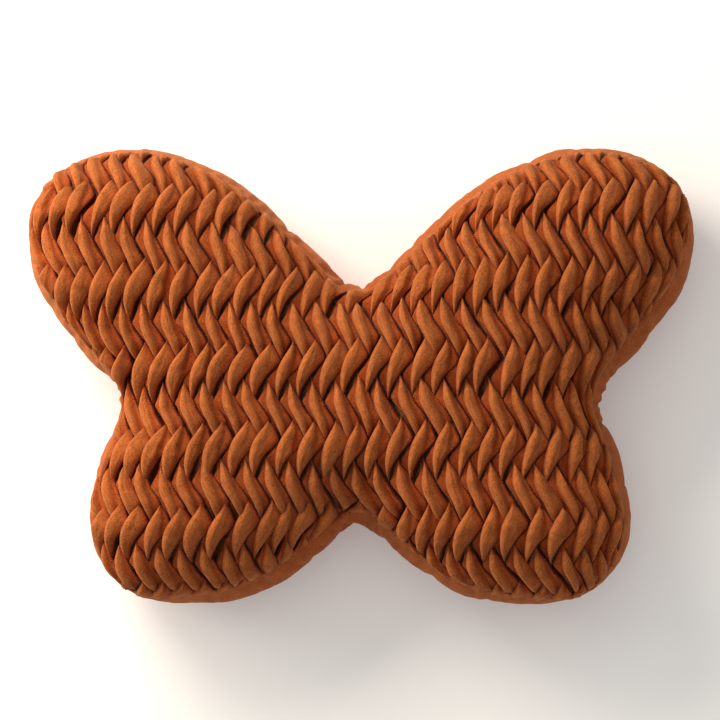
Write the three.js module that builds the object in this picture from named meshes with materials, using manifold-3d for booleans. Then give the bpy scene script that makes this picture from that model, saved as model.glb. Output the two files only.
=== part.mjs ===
// A butterfly-shaped cushion lying on its back: a smocked front panel, a plain side band and a
// plain back panel drawn tight over the filling. Millimetres, +Z out of the face, +Y towards the
// tops of the wings, and the origin under the middle of the cushion, on the surface it lies on.

import * as THREE from 'three';
import Module from 'manifold-3d';

// Corners of the right half of the outline, taken at the widest line of the side band. They run
// from the notch between the wings, round the wing and the lobe, to the notch between the lobes.
const CORNERS = [
  { name: 'top notch', x: 0, y: 60, radius: 19 },
  { name: 'wing top', x: 91, y: 148, radius: 186 },
  { name: 'wing shoulder', x: 172, y: 178, radius: 109 },
  { name: 'wing tip', x: 257, y: 142, radius: 62 },
  { name: 'wing side', x: 245, y: 69, radius: 81 },
  { name: 'wing underside', x: 215, y: 26, radius: 173 },
  { name: 'waist', x: 175, y: -16, radius: 26 },
  { name: 'lobe side', x: 199, y: -76, radius: 150 },
  { name: 'lobe corner', x: 204, y: -122, radius: 65 },
  { name: 'lobe sole', x: 173, y: -169, radius: 60 },
  { name: 'lobe inside', x: 76, y: -168, radius: 100 },
  { name: 'bottom notch', x: 0, y: -109, radius: 6 },
];
const ARC_STEP = THREE.MathUtils.degToRad(12.5);
const LONGEST_FACET = 30;
const SHORTEST_FACET = 0.8;

// Heights above the surface, and how far the two seams lie in from the widest line
const WIDEST_HEIGHT = 51;
const BACK_SEAM_HEIGHT = 25;
const FRONT_SEAM_HEIGHT = 78;
const FRONT_CROWN = 116;
const SEAM_INSET = 7;

// The crown of the front is level this far in from the outline, and the back lies flat there
const FRONT_REACH = 80;
const BACK_REACH = 56;
const FRONT_FULLNESS = 2.6;
const BACK_FULLNESS = 2.2;

// Thicknesses of the sewn pieces, and the gap between neighbours
const GAP = 0.3;
const SHOULDER_DROP = 0.9;
const BAND_THICKNESS = 2;
const PANEL_EDGE = 2.4;
const SMOCKING_DEPTH = 8;
const SMOCKING_RISE = 24;
const EDGE_HEIGHT = 1.5;

// The smocking: leaning pleats in rows that slant one way and then the other. A pleat climbs
// gently from its furrow to its crest and drops off steeply on the far side.
const PLEAT_PITCH = 16.6;
const ROW_HEIGHT = 30.6;
const ROW_SLANT = 8.8;
const ROW_STEPS = 2;
const ROW_PHASE = -10.5;
const PLEAT_SECTION = [
  { name: 'furrow', across: 0, lift: -2.6 },
  { name: 'crest', across: 0.64, lift: 2.8 },
];

// Rings of each surface, as shares of the way from the seam to where the surface is level
const CROWN_SHARES = [0.1, 0.24, 0.42, 0.64];
const BACK_SHARES = [0, 0.14, 0.34, 0.62, 1];
const BAND_SHARES = [0, 0.2, 0.5, 0.8, 1];

// The floor of the relief block lies well below the lowest height that the front reaches
const BLOCK_FLOOR = -400;

const VELVET = { color: 0xa8592b, roughness: 0.92, metalness: 0 };
const SHADED_VELVET = { color: 0x96491f, roughness: 0.92, metalness: 0 };

// The outline: points and outward normals, one arc for each corner
function mirroredCorners() {
  const left = CORNERS.slice(1, -1).reverse().map((corner) => ({ ...corner, x: -corner.x }));
  return [...CORNERS, ...left];
}

function roundedCorner(before, corner, after) {
  const here = new THREE.Vector2(corner.x, corner.y);
  const comingIn = here.clone().sub(new THREE.Vector2(before.x, before.y)).normalize();
  const goingOut = new THREE.Vector2(after.x, after.y).sub(here).normalize();
  const turn = Math.atan2(comingIn.cross(goingOut), comingIn.dot(goingOut));
  const side = Math.sign(turn);
  const bend = Math.abs(turn);
  const start = here.clone().addScaledVector(comingIn, -corner.radius * Math.tan(bend / 2));
  const outward = new THREE.Vector2(-comingIn.y, comingIn.x);
  const centre = start.clone().addScaledVector(outward, side * corner.radius);
  const steps = Math.ceil(Math.max(bend / ARC_STEP, (bend * corner.radius) / LONGEST_FACET));
  return Array.from({ length: steps + 1 }, (_, step) => {
    const normal = outward.clone().rotateAround(new THREE.Vector2(), (turn * step) / steps);
    return { point: centre.clone().addScaledVector(normal, -side * corner.radius), normal };
  });
}

function outlinePoints() {
  const corners = mirroredCorners();
  const rounded = corners.flatMap((corner, index) => roundedCorner(
    corners.at(index - 1), corner, corners[(index + 1) % corners.length]));
  const spaced = rounded.filter((here, index) => (
    here.point.distanceTo(rounded.at(index - 1).point) > SHORTEST_FACET));
  const stations = spaced.flatMap((here, index) => {
    const next = spaced[(index + 1) % spaced.length];
    const parts = Math.ceil(here.point.distanceTo(next.point) / LONGEST_FACET);
    return Array.from({ length: parts }, (_, part) => ({
      point: here.point.clone().lerp(next.point, part / parts),
      normal: here.normal.clone().lerp(next.normal, part / parts).normalize(),
    }));
  });
  return stations.reverse();
}

const OUTLINE = outlinePoints();

// Distance of a point from the outline, positive inside
function insetAt(x, y) {
  const place = new THREE.Vector2(x, y);
  let nearest = Infinity;
  let crossings = 0;
  OUTLINE.forEach(({ point: from }, index) => {
    const to = OUTLINE[(index + 1) % OUTLINE.length].point;
    const along = to.clone().sub(from);
    const offset = place.clone().sub(from);
    const share = THREE.MathUtils.clamp(offset.dot(along) / along.lengthSq(), 0, 1);
    nearest = Math.min(nearest, offset.addScaledVector(along, -share).length());
    const straddles = (from.y > y) !== (to.y > y);
    if (straddles && x < from.x + (along.x * (y - from.y)) / along.y) crossings += 1;
  });
  return crossings % 2 === 1 ? nearest : -nearest;
}

// Heights of the front and of the back at a distance in from the outline
function frontHeight(inset) {
  const share = Math.max(0, (FRONT_REACH - inset) / (FRONT_REACH - SEAM_INSET));
  return FRONT_CROWN - (FRONT_CROWN - FRONT_SEAM_HEIGHT) * share ** FRONT_FULLNESS;
}

function backHeight(inset) {
  const share = (BACK_REACH - inset) / (BACK_REACH - SEAM_INSET);
  return BACK_SEAM_HEIGHT * share ** BACK_FULLNESS;
}

// A ring of the outline drawn in by an inset and lifted to a height
function ring(inset, height) {
  return OUTLINE.map(({ point, normal }) => new THREE.Vector3(
    point.x - normal.x * inset, point.y - normal.y * inset, height));
}

// Rings of the side band between the seams, sunk below its outer face
function bandRings(sunk, bottom, top) {
  return BAND_SHARES.map((share) => {
    const height = THREE.MathUtils.lerp(bottom, top, share);
    const half = height < WIDEST_HEIGHT ? WIDEST_HEIGHT - BACK_SEAM_HEIGHT
      : FRONT_SEAM_HEIGHT - WIDEST_HEIGHT;
    const bulge = ((height - WIDEST_HEIGHT) / half) ** 2;
    return ring(SEAM_INSET * bulge + sunk, height);
  });
}

// Rings under the front panel, inwards from near its edge, at a thickness that grows from the edge
function underPanelRings(extra) {
  return CROWN_SHARES.map((share) => {
    const inset = THREE.MathUtils.lerp(SEAM_INSET, FRONT_REACH, share);
    const grown = THREE.MathUtils.smoothstep(inset - SEAM_INSET, 0, SMOCKING_RISE);
    const thickness = THREE.MathUtils.lerp(PANEL_EDGE, SMOCKING_DEPTH, grown) + extra;
    const slope = frontHeight(inset + 1) - frontHeight(inset);
    const steepness = Math.hypot(1, slope);
    return ring(inset + (thickness * slope) / steepness, frontHeight(inset) - thickness / steepness);
  });
}

// Closed solids from rings that all have the same number of points
function sideFaces(lower, upper, count) {
  return Array.from({ length: count }, (_, index) => {
    const next = (index + 1) % count;
    return [lower + index, lower + next, upper + next, lower + index, upper + next, upper + index];
  }).flat();
}

function solid(points, index) {
  const geometry = new THREE.BufferGeometry().setFromPoints(points);
  return geometry.setIndex(index);
}

function lofted(rings) {
  const count = rings[0].length;
  const top = count * (rings.length - 1);
  const index = rings.slice(1).flatMap((_, level) => sideFaces(level * count, (level + 1) * count, count));
  const bottomCap = THREE.ShapeUtils.triangulateShape(rings[0], []);
  const topCap = THREE.ShapeUtils.triangulateShape(rings.at(-1), []);
  index.push(...bottomCap.flatMap(([a, b, c]) => [a, c, b]));
  index.push(...topCap.flatMap(([a, b, c]) => [top + a, top + b, top + c]));
  return solid(rings.flat(), index);
}

function loopedLoft(rings) {
  const count = rings[0].length;
  const index = rings.flatMap((_, level) => sideFaces(
    level * count, ((level + 1) % rings.length) * count, count));
  return solid(rings.flat(), index);
}

// The smocked relief: a block whose top is the crowned front with its pleats
function pleatLift(part, inset) {
  const fade = THREE.MathUtils.smoothstep(inset - SEAM_INSET, 0, SMOCKING_RISE);
  return EDGE_HEIGHT + PLEAT_SECTION[part].lift * fade;
}

function smockedBlock() {
  const widest = Math.max(...OUTLINE.map(({ point }) => point.x));
  const tallest = Math.max(...OUTLINE.map(({ point }) => Math.abs(point.y)));
  const pleats = Math.ceil(widest / PLEAT_PITCH) + 1;
  const rows = Math.ceil(tallest / ROW_HEIGHT) + 1;
  const perRow = 2 * pleats * PLEAT_SECTION.length + 1;
  const levels = 2 * rows * ROW_STEPS + 1;
  const top = [];
  for (let level = 0; level < levels; level += 1) {
    const rowShare = level / ROW_STEPS - rows;
    const y = ROW_PHASE + rowShare * ROW_HEIGHT;
    const slant = ROW_SLANT * THREE.MathUtils.pingpong(rowShare + 2 * rows, 1);
    for (let station = 0; station < perRow; station += 1) {
      const part = station % PLEAT_SECTION.length;
      const pleat = Math.floor(station / PLEAT_SECTION.length) - pleats;
      const x = (pleat + PLEAT_SECTION[part].across) * PLEAT_PITCH + slant;
      const inset = insetAt(x, y);
      top.push(new THREE.Vector3(x, y, frontHeight(inset) + pleatLift(part, inset)));
    }
  }
  const bottom = top.map(({ x, y }) => new THREE.Vector3(x, y, BLOCK_FLOOR));
  return closedBlock(top, bottom, perRow, levels);
}

function closedBlock(top, bottom, perRow, levels) {
  const index = [];
  const under = top.length;
  for (let level = 0; level < levels - 1; level += 1) {
    for (let station = 0; station < perRow - 1; station += 1) {
      const a = level * perRow + station;
      const [b, c, d] = [a + 1, a + perRow + 1, a + perRow];
      const faces = top[d].x > top[a].x ? [a, b, d, b, c, d] : [a, b, c, a, c, d];
      index.push(...faces);
      for (let corner = 0; corner < faces.length; corner += 3) {
        index.push(under + faces[corner], under + faces[corner + 2], under + faces[corner + 1]);
      }
    }
  }
  const rim = blockRim(perRow, levels);
  rim.forEach((here, step) => {
    const next = rim[(step + 1) % rim.length];
    index.push(under + here, under + next, next, under + here, next, here);
  });
  return solid([...top, ...bottom], index);
}

function blockRim(perRow, levels) {
  const last = (levels - 1) * perRow;
  const south = Array.from({ length: perRow - 1 }, (_, step) => step);
  const east = Array.from({ length: levels - 1 }, (_, step) => perRow - 1 + step * perRow);
  const north = Array.from({ length: perRow - 1 }, (_, step) => last + perRow - 1 - step);
  const west = Array.from({ length: levels - 1 }, (_, step) => last - step * perRow);
  return [...south, ...east, ...north, ...west];
}

// The three sewn pieces
function backGeometry() {
  const back = BACK_SHARES.map((share) => {
    const inset = THREE.MathUtils.lerp(BACK_REACH, SEAM_INSET, share);
    return ring(inset, backHeight(inset));
  });
  const side = bandRings(BAND_THICKNESS + GAP, BACK_SEAM_HEIGHT, FRONT_SEAM_HEIGHT - SHOULDER_DROP);
  return lofted([...back, ...side, ...underPanelRings(GAP)]);
}

function bandGeometry() {
  const bottom = BACK_SEAM_HEIGHT + GAP;
  const top = FRONT_SEAM_HEIGHT - GAP;
  return loopedLoft([...bandRings(0, bottom, top), ...bandRings(BAND_THICKNESS, bottom, top).reverse()]);
}

function smockedGeometry(wasm) {
  const innerEdge = ring(SEAM_INSET + PANEL_EDGE, FRONT_SEAM_HEIGHT);
  const outerEdge = ring(SEAM_INSET, FRONT_SEAM_HEIGHT);
  const lid = ring(SEAM_INSET, 2 * FRONT_CROWN);
  const cup = lofted([...underPanelRings(0).reverse(), innerEdge, outerEdge, lid]);
  const panel = manifoldOf(wasm, cup).intersect(manifoldOf(wasm, smockedBlock()));
  return geometryOf(panel);
}

function manifoldOf(wasm, geometry) {
  return new wasm.Manifold(new wasm.Mesh({
    numProp: 3,
    vertProperties: new Float32Array(geometry.getAttribute('position').array),
    triVerts: new Uint32Array(geometry.getIndex().array),
  }));
}

function geometryOf(manifold) {
  const mesh = manifold.getMesh();
  const geometry = new THREE.BufferGeometry();
  geometry.setAttribute('position', new THREE.BufferAttribute(mesh.vertProperties, mesh.numProp));
  return geometry.setIndex(new THREE.BufferAttribute(mesh.triVerts, 1));
}

function sewnPiece(name, geometry, finish) {
  geometry.computeVertexNormals();
  const mesh = new THREE.Mesh(geometry, new THREE.MeshStandardMaterial(finish));
  mesh.name = name;
  return mesh;
}

const wasm = await Module();
wasm.setup();

const cushion = new THREE.Group();
cushion.add(
  sewnPiece('filled_back', backGeometry(), SHADED_VELVET),
  sewnPiece('side_band', bandGeometry(), SHADED_VELVET),
  sewnPiece('smocked_front', smockedGeometry(wasm), VELVET),
);

// The outline's box is centred over the origin
const middle = new THREE.Box3().setFromObject(cushion).getCenter(new THREE.Vector3());
cushion.position.set(-middle.x, -middle.y, 0);

export default cushion;
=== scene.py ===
"""The looks of a butterfly-shaped cushion lying on its back: rust velvet, smocked in front.

Lengths are millimetres until a mesh is made. +X is to the right of the face as it is seen, +Y points
to the tops of the wings and +Z out of the face.
"""
import logging
import math
from dataclasses import astuple, dataclass
from enum import Enum

import bpy
import numpy as np
from mathutils import Matrix, Vector, geometry


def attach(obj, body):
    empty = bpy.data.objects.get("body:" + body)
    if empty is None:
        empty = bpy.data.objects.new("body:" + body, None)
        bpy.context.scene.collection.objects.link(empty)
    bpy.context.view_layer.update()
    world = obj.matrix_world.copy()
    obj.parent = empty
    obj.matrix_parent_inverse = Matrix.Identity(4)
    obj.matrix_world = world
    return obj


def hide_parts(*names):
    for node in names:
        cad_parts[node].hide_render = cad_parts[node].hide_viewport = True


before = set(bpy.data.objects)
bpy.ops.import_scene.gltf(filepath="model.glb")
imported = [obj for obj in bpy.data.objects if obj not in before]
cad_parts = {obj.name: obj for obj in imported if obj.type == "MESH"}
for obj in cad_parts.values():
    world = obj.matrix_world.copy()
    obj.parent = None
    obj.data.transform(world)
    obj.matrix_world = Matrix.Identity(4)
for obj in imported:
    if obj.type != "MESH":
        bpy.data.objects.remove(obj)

MM = 0.001
TINY = 1e-6
# The sRGB curve: its knee, its slope below that, and its offset and power above
KNEE, SLOPE, OFFSET, POWER = 0.04045, 12.92, 0.055, 2.4
# Spacing of the points round and within the flat pieces
RIM_SPACING, FILL_SPACING = 4.0, 5.0
# Columns of a pleat's table, in the order of the fields of Section
DOWN, HIDDEN, FOOT, FLANK, CREST, EDGE, LOW, HIGH, LIP, BROW = range(10)
log = logging.getLogger("cushion")


class Lean(Enum):
    """Which way the pleats of a row lean as the eye runs down them."""

    FALLING = "falling"
    RISING = "rising"


@dataclass(frozen=True)
class Corner:
    """A rounded corner of the outline's right half, at the widest line of the side band.

    drawn says how much further in the front seam lies there, on the right and on the left half, and
    left_rise how much higher the corner is on the left half.
    """

    name: str
    x: float
    y: float
    radius: float
    drawn: tuple[float, float] = (0.0, 0.0)
    left_rise: float = 0.0


@dataclass(frozen=True)
class Section:
    """A cross-section of a pleat, by how far down from its top tip it lies.

    Places across, from left to right: where the cloth goes in under its left neighbour (hidden), the
    foot and the outermost side of the ridge, its crest, and the edge on the right. Then the heights of
    the foot, the crest and the edge above the ground cloth, and the share of the way from crest to edge
    at which the face of a stepped pleat drops to its flap.
    """

    down: float
    hidden: float
    foot: float
    flank: float
    crest: float
    edge: float
    low: float
    high: float
    lip: float
    brow: float


CORNERS = (
    Corner("top notch", 0, 60, 19, (1.0, 0.0)),
    Corner("wing top", 91, 148, 186, (3.5, 0.0), 2.0),
    Corner("wing shoulder", 172, 178, 109, (2.0, 0.0), 2.5),
    Corner("wing tip", 257, 142, 62, (-2.5, 0.0), 1.5),
    Corner("wing side", 245, 69, 81, (3.5, 1.5)),
    Corner("wing underside", 215, 26, 173, (6.5, 3.0)),
    Corner("waist", 175, -16, 26, (0.0, 0.0)),
    Corner("lobe side", 199, -76, 150, (2.5, 0.0)),
    Corner("lobe corner", 204, -122, 65, (0.0, 0.0)),
    Corner("lobe sole", 173, -169, 60, (-4.5, -3.0)),
    Corner("lobe inside", 76, -168, 100, (2.5, 4.5)),
    Corner("bottom notch", 0, -109, 6, (5.0, 5.0)),
)

PLEATS = {
    Lean.FALLING: (
        Section(-6.0, -4.2, -3.4, -3.0, -2.0, -1.2, -1.0, 0.4, -0.6, 0.90),
        Section(-2.5, -3.6, -2.0, -1.6, -0.8, -0.2, 0.2, 2.0, 0.8, 0.90),
        Section(0.0, -3.4, -1.0, -0.8, 0.2, 1.0, 1.6, 4.4, 2.6, 0.90),
        Section(3.0, -5.0, -1.2, -1.0, 1.0, 2.8, 3.0, 6.6, 3.8, 0.80),
        Section(8.0, -7.7, -1.8, -1.4, 1.8, 6.0, 4.2, 8.7, 4.2, 0.66),
        Section(14.5, -10.9, -2.4, -1.4, 2.5, 9.6, 4.6, 9.9, 4.2, 0.54),
        Section(20.0, -7.4, -1.2, -0.2, 3.8, 12.7, 4.2, 10.2, 4.2, 0.48),
        Section(25.5, -3.2, 1.6, 2.2, 5.8, 16.4, 3.6, 10.1, 4.2, 0.44),
        Section(28.5, -1.2, 3.5, 3.9, 7.0, 18.3, 3.0, 9.9, 4.0, 0.42),
        Section(31.5, -0.6, 5.0, 5.2, 8.2, 18.8, 2.4, 9.4, 3.6, 0.42),
        Section(35.0, 1.6, 6.6, 6.6, 9.4, 17.4, 1.6, 8.2, 2.6, 0.46),
        Section(40.0, 5.8, 9.2, 9.0, 11.0, 14.4, 0.4, 5.8, 1.0, 0.75),
        Section(44.0, 8.6, 10.6, 10.5, 11.6, 12.6, -1.0, 2.8, -0.2, 0.90),
        Section(47.0, 10.0, 10.8, 10.8, 11.4, 12.0, -2.4, -0.8, -1.6, 0.90),
    ),
    Lean.RISING: (
        Section(-2.5, -1.0, -0.6, -0.6, 0.0, 0.8, -1.0, 1.0, 0.0, 0.90),
        Section(0.0, -0.8, -0.6, -0.8, 0.2, 1.2, 0.0, 4.6, 2.4, 0.70),
        Section(4.0, -1.2, -2.0, -2.6, -0.4, 4.4, 0.6, 7.6, 3.6, 0.58),
        Section(8.5, -3.4, -4.4, -5.2, -1.8, 7.2, 1.4, 9.3, 4.2, 0.50),
        Section(13.2, -6.8, -6.9, -7.7, -3.8, 9.2, 2.2, 10.2, 4.4, 0.46),
        Section(16.0, -10.5, -8.4, -8.8, -4.9, 8.6, 2.8, 10.3, 4.4, 0.46),
        Section(19.0, -13.6, -9.7, -9.7, -5.8, 6.4, 3.4, 10.2, 4.4, 0.52),
        Section(22.4, -16.8, -10.7, -10.4, -6.6, 3.5, 3.8, 10.0, 4.4, 0.70),
        Section(25.5, -19.4, -11.3, -10.8, -7.4, 0.3, 3.8, 9.8, 4.4, 0.80),
        Section(28.0, -20.9, -11.8, -11.0, -7.9, -1.8, 3.6, 9.6, 4.2, 0.86),
        Section(32.0, -20.8, -12.1, -11.2, -8.6, -4.4, 3.0, 8.8, 3.8, 0.90),
        Section(37.6, -17.2, -11.9, -11.1, -9.5, -7.2, 2.2, 7.0, 3.0, 0.90),
        Section(44.0, -13.2, -11.2, -10.8, -10.2, -9.4, 0.8, 3.6, 1.0, 0.90),
        Section(48.0, -11.6, -10.6, -10.6, -10.3, -10.0, -1.2, -0.2, -1.0, 0.90),
    ),
}


def linear(code: str) -> tuple[float, float, float, float]:
    """Turns an sRGB hex code to linear light.

    Args:
        code: Six hex digits.

    Returns:
        Red, green, blue and an alpha of one.
    """
    channels = [int(code[place:place + 2], 16) / 255 for place in (0, 2, 4)]
    red, green, blue = (c / SLOPE if c <= KNEE else ((c + OFFSET) / (1 + OFFSET)) ** POWER for c in channels)
    return red, green, blue, 1.0


def smoothstep(value: np.ndarray) -> np.ndarray:
    """Eases values from 0 to 1, held at both ends."""
    share = np.clip(value, 0.0, 1.0)
    return share * share * (3 - 2 * share)


def add_node(
    tree: bpy.types.NodeTree, kind: str, values: dict | None = None, links: dict | None = None,
) -> bpy.types.Node:
    """Adds a node with its settings and links.

    Args:
        tree: The tree it goes in.
        kind: Blender's name for the kind of node.
        values: Input values by the input's name or number, or the node's own settings by their name.
        links: Output sockets by the name or number of the input that they feed.

    Returns:
        The new node.
    """
    node = tree.nodes.new(kind)
    for name, value in (values or {}).items():
        if isinstance(name, int) or name in node.inputs:
            node.inputs[name].default_value = value
        else:
            setattr(node, name, value)
    for name, source in (links or {}).items():
        tree.links.new(source, node.inputs[name])
    return node


def linked(name: str, data: bpy.types.ID) -> bpy.types.Object:
    """Makes an object at the origin and links it to the scene.

    Args:
        name: The object's name.
        data: Its mesh, camera or light.

    Returns:
        The new object.
    """
    made = bpy.data.objects.new(name, data)
    bpy.context.scene.collection.objects.link(made)
    return made


def new_material(name: str, values: dict) -> bpy.types.Material:
    """Makes a material with values on its shader's own sockets.

    Args:
        name: The material's name.
        values: Values by the socket's name.

    Returns:
        The new material.
    """
    made = bpy.data.materials.new(name)
    made.use_nodes = True
    for socket, value in values.items():
        made.node_tree.nodes["Principled BSDF"].inputs[socket].default_value = value
    return made


@dataclass
class Patch:
    """Points and faces of a piece to be, with what its finish reads at each point.

    Each point carries the light and shade painted into its colour, from 0, painted shade low in the folds,
    to 1, a painted highlight on the crests, and run is how far it lies across and along its own pleat.
    """

    points: np.ndarray
    faces: list
    painted_light: np.ndarray | None = None
    run: np.ndarray | None = None

    def piece(self, name: str, finish: bpy.types.Material) -> bpy.types.Object:
        """Makes a smooth-shaded object at the origin.

        Args:
            name: The object's name.
            finish: The finish of every face.

        Returns:
            The new object, linked to the scene.
        """
        mesh = bpy.data.meshes.new(name)
        mesh.from_pydata((self.points * MM).tolist(), [], self.faces)
        mesh.polygons.foreach_set("use_smooth", [True] * len(mesh.polygons))
        mesh.materials.append(finish)
        # Pieces without painted shade take the top of the ramp everywhere
        shares = np.ones(len(self.points)) if self.painted_light is None else self.painted_light
        mesh.attributes.new("painted_light", "FLOAT", "POINT").data.foreach_set("value", shares)
        if self.run is not None:
            corners = np.empty(len(mesh.loops), dtype=int)
            mesh.loops.foreach_get("vertex_index", corners)
            mesh.uv_layers.new(name="run").data.foreach_set("uv", self.run[corners].ravel())
        mesh.update()
        log.info("%s: %d points, %d faces", name, len(self.points), len(self.faces))
        return linked(name, mesh)


def joined(patches: list[Patch]) -> Patch:
    """Puts patches together.

    Args:
        patches: At least one patch, each with its painted light and run.

    Returns:
        One patch.
    """
    faces, start = [], 0
    for patch in patches:
        faces += [[corner + start for corner in face] for face in patch.faces]
        start += len(patch.points)
    return Patch(
        np.vstack([patch.points for patch in patches]), faces,
        np.concatenate([patch.painted_light for patch in patches]),
        np.vstack([patch.run for patch in patches]))


def ring_quads(levels: int, around: int, looped: bool = False) -> list[list[int]]:
    """Joins rings of points, one after another, with quads.

    Args:
        levels: Number of rings.
        around: Number of points in a ring.
        looped: Whether the last ring is joined to the first.

    Returns:
        The corners of each quad.
    """
    ring = np.arange(around)
    after = np.roll(ring, -1)
    low = np.arange(levels if looped else levels - 1)[:, None] * around
    high = (low + around) % (levels * around)
    return np.stack([low + ring, high + ring, high + after, low + after], -1).reshape(-1, 4).tolist()


class Outline:
    """The closed outline of the widest line, as evenly spaced stations with outward normals."""

    WAVES = 24

    def __init__(self, spacing: float, front: bool = False) -> None:
        """Rounds the corners and spaces the stations.

        Args:
            spacing: Distance between stations.
            front: Whether the outline is drawn in further where the front seam is.
        """
        left = [
            Corner(c.name, -c.x, c.y + c.left_rise, c.radius, c.drawn[::-1])
            for c in reversed(CORNERS[1:-1])]
        corners = [*CORNERS, *left]
        raw = np.vstack([
            self._arc(corners[index - 1], corner, corners[(index + 1) % len(corners)], spacing)
            for index, corner in enumerate(corners)
        ])
        right = raw[raw[:, 0] > 0, 1]
        raw[:, 1] -= (right.max() + right.min()) / 2
        self.points, self.normals = self._spaced(raw, spacing)
        self.drawn = self._drawn(corners)
        if front:
            self.points, self.normals = self._spaced(self.drawn_in(self.drawn), spacing)

    @staticmethod
    def _arc(before: Corner, corner: Corner, after: Corner, spacing: float) -> np.ndarray:
        """Traces one rounded corner.

        Args:
            before: The corner before it.
            corner: The corner to trace.
            after: The corner after it.
            spacing: Distance between points.

        Returns:
            Rows of x, y along the arc.
        """
        here = np.array([corner.x, corner.y])
        coming = here - (before.x, before.y)
        going = np.array([after.x, after.y]) - here
        coming, going = coming / np.linalg.norm(coming), going / np.linalg.norm(going)
        turn = math.atan2(coming[0] * going[1] - coming[1] * going[0], coming @ going)
        side = math.copysign(1, turn)
        outward = np.array([-coming[1], coming[0]])
        start = here - coming * corner.radius * math.tan(abs(turn) / 2)
        centre = start + outward * side * corner.radius
        steps = max(2, math.ceil(abs(turn) * corner.radius / spacing))
        angles = np.linspace(0, turn, steps + 1)
        spokes = np.outer(np.cos(angles), outward) + np.outer(np.sin(angles), -coming)
        return centre - side * corner.radius * spokes

    @staticmethod
    def _spaced(raw: np.ndarray, spacing: float) -> tuple[np.ndarray, np.ndarray]:
        """Spaces the outline evenly and finds its normals.

        Args:
            raw: Points round the outline.
            spacing: Distance wanted between stations.

        Returns:
            Points and outward normals.
        """
        closed = np.vstack([raw, raw[:1]])
        along = np.concatenate([[0], np.cumsum(np.linalg.norm(np.diff(closed, axis=0), axis=1))])
        count = round(along[-1] / spacing)
        places = np.arange(count) * along[-1] / count
        points = np.column_stack([np.interp(places, along, closed[:, axis]) for axis in (0, 1)])
        tangent = np.roll(points, -1, axis=0) - np.roll(points, 1, axis=0)
        tangent /= np.linalg.norm(tangent, axis=1)[:, None]
        return points, np.column_stack([-tangent[:, 1], tangent[:, 0]])

    def _drawn(self, corners: list[Corner]) -> np.ndarray:
        """Spreads the corners' drawn values over the stations.

        Args:
            corners: Every corner of the outline.

        Returns:
            How much further in the front seam lies at each station.
        """
        knots = sorted((self.nearest(c.x, c.y), c.drawn[0]) for c in corners)
        places, values = zip(*knots)
        return np.interp(np.arange(len(self.points)), places, values, period=len(self.points))

    @property
    def length(self) -> float:
        """Distance all the way round."""
        return float(np.linalg.norm(self.points - np.roll(self.points, 1, axis=0), axis=1).sum())

    def nearest(self, x: float, y: float) -> int:
        """The station nearest to a place."""
        return int(np.argmin(np.hypot(self.points[:, 0] - x, self.points[:, 1] - y)))

    def drawn_in(self, inset: float | np.ndarray) -> np.ndarray:
        """The outline's points moved inwards by an inset."""
        return self.points - self.normals * np.asarray(inset).reshape(-1, 1)

    def ripple(self, rng: np.random.Generator, shortest: float, longest: float) -> np.ndarray:
        """Smooth random waves round the outline.

        Args:
            rng: Seeded source of the waves.
            shortest: Length of the shortest wave.
            longest: Length of the longest wave.

        Returns:
            A value for each station, about -1 to 1.
        """
        around = np.linspace(0, 2 * math.pi, len(self.points), endpoint=False)
        counts = np.linspace(self.length / longest, self.length / shortest, self.WAVES)
        counts = np.unique(counts.astype(int))
        phases = rng.uniform(0, 2 * math.pi, len(counts))
        waves = np.cos(np.outer(around, counts) + phases).sum(axis=1)
        return waves / math.sqrt(len(counts))


class InsetField:
    """Distance in from an outline and the nearest outward normal, over the whole plane."""

    REACH = (290.0, 200.0)
    STEP = 2.0
    CHUNK = 4000

    def __init__(self, outline: Outline) -> None:
        """Samples the plane on a square grid.

        Args:
            outline: The outline that distances are taken from.
        """
        axes = [np.arange(-reach, reach + self.STEP, self.STEP) for reach in self.REACH]
        grid = np.stack(np.meshgrid(*axes, indexing="ij"), axis=-1)
        flat = grid.reshape(-1, 2)
        inset, normal = np.empty(len(flat)), np.empty((len(flat), 2))
        for start in range(0, len(flat), self.CHUNK):
            part = slice(start, start + self.CHUNK)
            away = flat[part, None, :] - outline.points[None]
            nearest = np.argmin(np.sum(away ** 2, axis=2), axis=1)
            offset, facing = away[np.arange(len(nearest)), nearest], outline.normals[nearest]
            outside = np.sign(np.sum(offset * facing, axis=1))
            inset[part] = -outside * np.linalg.norm(offset, axis=1)
            normal[part] = facing
        self.inset = inset.reshape(grid.shape[:2])
        self.normal = normal.reshape(grid.shape)

    def sample(self, places: np.ndarray) -> tuple[np.ndarray, np.ndarray]:
        """Looks up places between the grid's points.

        Args:
            places: Rows of x, y.

        Returns:
            The inset of each place, and the outward normal nearest to it.
        """
        cell = (places + self.REACH) / self.STEP
        low = np.clip(np.floor(cell).astype(int), 0, np.array(self.inset.shape) - 2)
        share = np.clip(cell - low, 0, 1)
        inset, normal = 0.0, 0.0
        for right in (0, 1):
            for up in (0, 1):
                weight = np.abs(1 - right - share[:, 0]) * np.abs(1 - up - share[:, 1])
                at = (low[:, 0] + right, low[:, 1] + up)
                inset = inset + weight * self.inset[at]
                normal = normal + weight[:, None] * self.normal[at]
        return inset, normal / np.maximum(np.linalg.norm(normal, axis=1), TINY)[:, None]


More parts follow.
